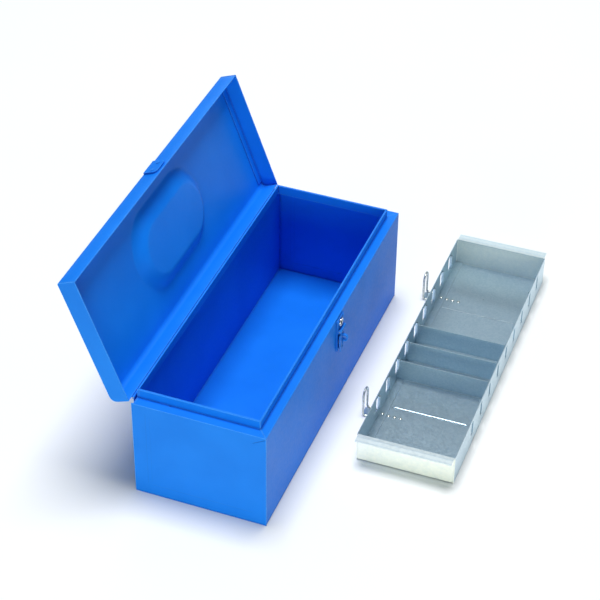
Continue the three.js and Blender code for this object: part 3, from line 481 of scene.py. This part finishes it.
def swept(name, route, radius, place, sides=20):
    """A round wire along a route, with its ends slightly domed."""
    DOME = 0.25
    first = (route[1] - route[0]).normalized()
    last = (route[-1] - route[-2]).normalized()
    stations = [(route[0], first, 1 - DOME), (route[0] + first * radius * DOME, first, 1)]
    for before, here, after in zip(route, route[1:], route[2:]):
        tangent = ((here - before).normalized() + (after - here).normalized()).normalized()
        stations.append((here, tangent, 1))
    stations += [(route[-1] - last * radius * DOME, last, 1), (route[-1], last, 1 - DOME)]
    vertices, faces = [], []
    side = first.orthogonal().normalized()
    heading = first
    for centre, tangent, share in stations:
        side = heading.rotation_difference(tangent) @ side
        heading = tangent
        other = tangent.cross(side)
        for k in range(sides):
            angle = 2 * math.pi * k / sides
            spoke = side * math.cos(angle) + other * math.sin(angle)
            vertices.append(centre + spoke * radius * share)
    for row in range(len(stations) - 1):
        low = row * sides
        high = low + sides
        for k in range(sides):
            after = (k + 1) % sides
            faces.append([low + k, low + after, high + after, high + k])
    faces.append(list(range(sides)))
    faces.append(list(range(len(vertices) - sides, len(vertices))))
    return mesh_from(name, vertices, faces, place)


def bevel(piece, width, angle):
    """Rounds the edges that turn by more than angle degrees."""
    modifier = piece.modifiers.new("roll", "BEVEL")
    modifier.width = width
    modifier.segments = 2
    modifier.limit_method = "ANGLE"
    modifier.angle_limit = math.radians(angle)
    return modifier


# ---- CAD sheets: materials and rolled edges ----
def dress(names, material, roll):
    """Gives CAD nodes a material, merges their flat triangles and rolls their edges."""
    FLAT, EDGE = 0.5, 25
    for name in names:
        piece = nodes[name]
        piece.data.materials.clear()
        piece.data.materials.append(material)
        merge = piece.modifiers.new("merge", "DECIMATE")
        merge.decimate_type = "DISSOLVE"
        merge.angle_limit = math.radians(FLAT)
        bevel(piece, roll, EDGE).harden_normals = True
        smooth(piece.data)


def dress_cad():
    PAINTED = ["body_wrap", "lid_end_left", "lid_end_right", "hinge_leaf_body", "hinge_leaf_lid",
               "lid_catch", "latch_plate", "latch_lever", "padlock_staple"]
    PLATED = ["lock_cam", "lock_nut", "handle_saddle_left", "handle_saddle_right", "hinge_pin",
              "latch_pin"]
    dress(PAINTED, paint, 0.3 * MM)
    dress(["body_end_left", "body_end_right"], paint_end, 0.4 * MM)
    dress([n for n in nodes if n.startswith(("tray_", "loop_strap"))], zinc_sheet, 0.2 * MM)
    dress(PLATED, zinc_wire, 0.2 * MM)
    dress(["lock_plug"], black_steel, 0.15 * MM)


# ---- the lid's pressed sheet ----
CUP_STEP = 2 * MM
CUP_MARGIN = 4 * MM


def spaced(marks, steps):
    """Values from the first mark to the last, in equal steps between one mark and the next."""
    SLACK = 1e-9
    values = [marks[0]]
    for low, high, step in zip(marks, marks[1:], steps):
        count = max(1, math.ceil((high - low) / step - SLACK))
        values += [low + (high - low) * k / count for k in range(1, count + 1)]
    return values


def cup_depth(x, y):
    """Depth of the handle recess: a round-ended dish with a flat floor and eased shoulders."""
    EASE = 0.3
    half = (CUP_LENGTH - CUP_WIDTH) / 2
    radius = math.hypot(max(abs(x) - half, 0), y - CUP_Y)
    share = min(max((CUP_WIDTH / 2 - radius) / CUP_SLOPE_RUN, 0), 1)
    return CUP_DEPTH * (share - EASE * math.sin(2 * math.pi * share) / (2 * math.pi))


def lid_profile():
    """The folded sheet's (y, z): front wall, front bend, top, rear bend and rear wall."""
    BEND_STEPS = 6
    TOP_STEP = 6 * MM
    profile = [(-HALF_WIDTH, LID_RIM), (-HALF_WIDTH, LID_MIDDLE)]
    for angle in quarter_turn(BEND_STEPS)[:-1]:
        y = -HALF_WIDTH + LID_FRONT_BEND * (1 - math.cos(angle))
        z = LID_TOP - LID_FRONT_BEND * (1 - math.sin(angle))
        profile.append((y, z))
    sides = CUP_WIDTH / 2 + CUP_MARGIN
    front = -HALF_WIDTH + LID_FRONT_BEND
    rear = HALF_WIDTH - LID_REAR_BEND
    top = spaced([front, CUP_Y - sides, CUP_Y + sides, rear], [TOP_STEP, CUP_STEP, TOP_STEP])
    profile += [(y, LID_TOP) for y in top]
    for angle in quarter_turn(BEND_STEPS)[1:]:
        y = HALF_WIDTH - LID_REAR_BEND * (1 - math.sin(angle))
        z = LID_TOP - LID_REAR_BEND * (1 - math.cos(angle))
        profile.append((y, z))
    profile.append((HALF_WIDTH, LID_RIM))
    return profile


def lid_shell():
    """The lid's folded sheet with its pressed recess, a surface that is then given its gauge."""
    LENGTH_STEP = 12 * MM
    ends = CUP_LENGTH / 2 + CUP_MARGIN
    xs = spaced([-WRAP_HALF, -ends, ends, WRAP_HALF], [LENGTH_STEP, CUP_STEP, LENGTH_STEP])
    profile = lid_profile()
    vertices = []
    for x in xs:
        for y, z in profile:
            pressed = cup_depth(x, y) if z == LID_TOP else 0
            vertices.append(to_open_lid @ Vector((x, y, z - pressed)))
    mesh = bpy.data.meshes.new("lid_sheet")
    mesh.from_pydata(vertices, [], grid_faces(len(xs), len(profile)))
    smooth(mesh)
    piece = new_piece("lid_sheet", mesh, paint, "lid", "blue_paint", "lid_shell")
    gauge = piece.modifiers.new("gauge", "SOLIDIFY")
    gauge.thickness = SHEET
    gauge.offset = 1
    bevel(piece, 0.3 * MM, 50)


# ---- wires ----
def lifting_loop(index, x):
    """A wire that runs out from under its strap, stands up and comes back."""
    FOOT_BEND = 4 * MM
    half = STRAP_HALF + GAP + WIRE_RADIUS
    start = WIRE_RADIUS + GAP
    low = WIRE_RADIUS + GAP / 2
    top = LOOP_TOP - WIRE_RADIUS
    route = rounded_route([
        (x - half, start, low, 0),
        (x - half, LOOP_REACH, low, FOOT_BEND),
        (x - half, LOOP_REACH, top, half),
        (x + half, LOOP_REACH, top, half),
        (x + half, LOOP_REACH, low, FOOT_BEND),
        (x + half, start, low, 0),
    ], 1 * MM)
    name = f"loop_wire_{index}"
    mesh = swept(name, route, WIRE_RADIUS, to_tray)
    new_piece(name, mesh, zinc_wire, "tray", "zinc_plate", f"lifting_loop_{index}")


def carrying_handle():
    """The lid's bail, which hangs straight down from its two saddles."""
    ELBOW = BAIL_RADIUS + 1 * MM
    GRIP_BEND = 8 * MM
    half = BAIL_SPAN / 2
    route = rounded_route([
        (-half + BAIL_STUB, 0, 0, 0),
        (-half, 0, 0, ELBOW),
        (-half, BAIL_REACH, 0, GRIP_BEND),
        (half, BAIL_REACH, 0, GRIP_BEND),
        (half, 0, 0, ELBOW),
        (half - BAIL_STUB, 0, 0, 0),
    ], 1 * MM)
    hang = Matrix.Rotation(LID_ANGLE - math.pi / 2, 4, "X")
    place = to_open_lid @ Matrix.Translation((0, BAIL_Y, BAIL_Z)) @ hang
    mesh = swept("handle_rod", route, BAIL_RADIUS, place, 28)
    new_piece("handle_rod", mesh, zinc_wire, "handle", "zinc_plate", "handle_bail")


# ---- rivets, lock and beads ----
def dome(radius, base, height):
    """The (radius, z) profile of a domed head, from its rim to its crown."""
    profile = [(radius * math.cos(a), base + height * math.sin(a)) for a in quarter_turn(6)]
    return profile[:-1] + [(0, base + height)]


def wall_rivet(name, stands_for, x, z, outer, inner, place, body):
    """A rivet along Y through a plate and the wall behind it, from y = outer to y = inner."""
    SHANK = 1.3 * MM
    HEAD = 2.6 * MM
    HEIGHT = 1 * MM
    grip = inner - outer + 2 * GAP
    tail = [(r, -grip - h) for r, h in reversed(dome(0.85 * HEAD, 0, 0.7 * HEIGHT))]
    profile = tail + [(SHANK, -grip), (SHANK, 0)] + dome(HEAD, 0, HEIGHT)
    upright = Matrix.Rotation(math.pi / 2, 4, "X")
    stand = place @ Matrix.Translation((x, outer - GAP, z)) @ upright
    new_piece(name, turned(name, profile, stand), paint, body, "blue_paint", stands_for)


def wall_rivets():
    inner = -HALF_WIDTH + SHEET
    for i in range(1, 5):
        low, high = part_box(f"latch_rivet_{i}")
        middle = (low + high) / 2
        wall_rivet(f"latch_stud_{i}", f"latch_rivet_{i}", middle.x, middle.z,
                   LATCH_FACE, inner, Matrix.Identity(4), "box")
    outer = -HALF_WIDTH - GAP - CATCH_THICKNESS
    for i, side in ((1, -1), (2, 1)):
        x = LATCH_X + side * CATCH_RIVET_OFFSET
        wall_rivet(f"catch_stud_{i}", f"catch_rivet_{i}", x, LID_MIDDLE,
                   outer, inner, to_open_lid, "lid")


def strap_rivet(index, k, x, inward):
    """A rivet up through a loop's strap and the tray's floor, inward from the rear wall."""
    SHANK = 1.2 * MM
    HEAD = 2.3 * MM
    HEIGHT = 1 * MM
    seat = (WALL_FOOT_TOP if inward < WALL_FOOT else TRAY_FLOOR_TOP) + GAP
    profile = [(0, GAP), (SHANK, GAP), (SHANK, seat)] + dome(HEAD, seat, HEIGHT)
    name = f"strap_stud_{index}_{k}"
    mesh = turned(name, profile, to_tray @ Matrix.Translation((x, -inward, 0)), 28)
    new_piece(name, mesh, zinc_wire, "tray", "zinc_plate", f"strap_rivet_{index}_{k}")


def floor_bead(index, station, rise):
    """A pressed bead across the tray's floor, whose ends run down into the sheet."""
    HALF = 1.6 * MM
    SIDES = 8
    STEPS = 40
    RUN_OUT = 3 * MM
    foot = TRAY_FLOOR_TOP + 0.1 * MM
    inset = WALL_FOOT + 2 * MM
    length = TRAY_WIDTH - 2 * inset
    vertices = []
    for step in range(STEPS + 1):
        run = length * step / STEPS
        swell = math.sin(math.pi / 2 * min(run / RUN_OUT, (length - run) / RUN_OUT, 1))
        for k in range(SIDES + 1):
            angle = math.pi * k / SIDES
            x = station + HALF * math.cos(angle)
            z = foot + rise * swell * math.sin(angle)
            vertices.append((x, -TRAY_WIDTH + inset + run, z))
    row = SIDES + 1
    faces = grid_faces(STEPS + 1, row)
    faces += [[i + SIDES, i, i + row, i + row + SIDES] for i in range(0, STEPS * row, row)]
    name = f"floor_bead_{index}"
    mesh = mesh_from(name, vertices, faces, to_tray)
    new_piece(name, mesh, zinc_sheet, "tray", "galvanised_sheet")


def tray_details():
    for index, (station, rise) in enumerate(BEADS, 1):
        floor_bead(index, station, rise)
    for index, side in ((1, -1), (2, 1)):
        x = TRAY_LENGTH / 2 + side * STRAP_OFFSET
        lifting_loop(index, x)
        for k, inward in enumerate(STRAP_RIVETS, 1):
            strap_rivet(index, k, x, inward)


def lock_bezel():
    """Chromed lock housing: a rounded flange, a dished face round the plug and a plain body."""
    FLANGE = 6 * MM
    BODY = 4.4 * MM
    BORE = 3.3 * MM
    RISE = 1.4 * MM
    RIM = 0.45 * RISE
    SHOULDER = 0.8 * MM
    DISH = 0.7 * MM
    WELD = 1e-7
    face = LATCH_FACE - GAP
    end = face + HALF_WIDTH - LOCK_DEPTH
    ring = [(BORE, end), (BODY, end), (BODY, 0), (FLANGE, 0), (FLANGE, RIM)]
    for angle in quarter_turn(5)[1:]:
        radius = FLANGE - SHOULDER * (1 - math.cos(angle))
        ring.append((radius, RIM + (RISE - RIM) * math.sin(angle)))
    ring += [(BORE + DISH, 0.95 * RISE), (BORE, 0.7 * RISE), (BORE, end)]
    stand = Matrix.Translation((LATCH_X, face, LOCK_Z)) @ Matrix.Rotation(math.pi / 2, 4, "X")
    mesh = turned("lock_bezel", ring, stand, 56)
    face_outwards(mesh, WELD)
    new_piece("lock_bezel", mesh, chrome_plate, "box", "chrome", "lock_housing")


# ---- studio ----
def studio_floor():
    REACH = 6.0
    STEPS = 8
    grid = [-REACH + 2 * REACH * k / STEPS for k in range(STEPS + 1)]
    mesh = bpy.data.meshes.new("floor")
    mesh.from_pydata([(x, y, 0) for y in grid for x in grid], [], grid_faces(len(grid), len(grid)))
    mesh.materials.append(pale_floor("pale_floor"))
    floor = bpy.data.objects.new("floor", mesh)
    bpy.context.scene.collection.objects.link(floor)


def softbox(name, place, target, size, power, colour=(1, 1, 1)):
    """A rectangular light at place that faces target."""
    data = bpy.data.lights.new(name, "AREA")
    data.shape = "RECTANGLE"
    data.size, data.size_y = size
    data.energy = power
    data.color = colour
    lamp = bpy.data.objects.new(name, data)
    lamp.location = place
    lamp.rotation_mode = "QUATERNION"
    lamp.rotation_quaternion = (Vector(target) - Vector(place)).to_track_quat("-Z", "Y")
    bpy.context.scene.collection.objects.link(lamp)


def studio_light():
    """A large softbox overhead, a low warm one at the left and a low cool one behind."""
    world = bpy.data.worlds.new("studio")
    world.use_nodes = True
    sky = world.node_tree.nodes["Background"].inputs
    sky["Color"].default_value = SKY
    sky["Strength"].default_value = 0.17
    bpy.context.scene.world = world
    softbox("top_softbox", (0.38, 0.08, 5.0), (0, 0, 0), (2.1, 2.1), 235)
    softbox("side_softbox", (-2.5, -0.65, 0.3), (0, 0, 0.1), (2.2, 0.42), 35, (0.98, 1.0, 0.78))
    softbox("back_softbox", (3.0, 0.9, 1.1), (0.1, -0.2, 0), (2.2, 1.0), 14, (0.85, 0.95, 1.0))
    bpy.context.scene.view_settings.view_transform = "Standard"


def camera():
    """Stands at the front left and looks down into the open box."""
    PLACE = (-1.8233, -0.71557, 1.69403)
    AZIMUTH = math.radians(-69.588)
    ELEVATION = math.radians(38.252)
    ROLL = math.radians(0.704)
    data = bpy.data.cameras.new("camera")
    data.sensor_width = 36
    data.lens = 114.54
    data.clip_start = 0.1
    data.clip_end = 50
    level = math.cos(ELEVATION)
    back = Vector((math.sin(AZIMUTH) * level, -math.cos(AZIMUTH) * level, math.sin(ELEVATION)))
    right = Vector((0, 0, 1)).cross(back).normalized()
    up = back.cross(right)
    rolled_right = right * math.cos(ROLL) + up * math.sin(ROLL)
    rolled_up = up * math.cos(ROLL) - right * math.sin(ROLL)
    turn = Matrix((rolled_right, rolled_up, back)).transposed().to_4x4()
    view = bpy.data.objects.new("camera", data)
    view.matrix_world = Matrix.Translation(PLACE) @ turn
    bpy.context.scene.collection.objects.link(view)
    bpy.context.scene.camera = view


dress_cad()
lid_shell()
carrying_handle()
wall_rivets()
tray_details()
lock_bezel()
studio_floor()
studio_light()
camera()
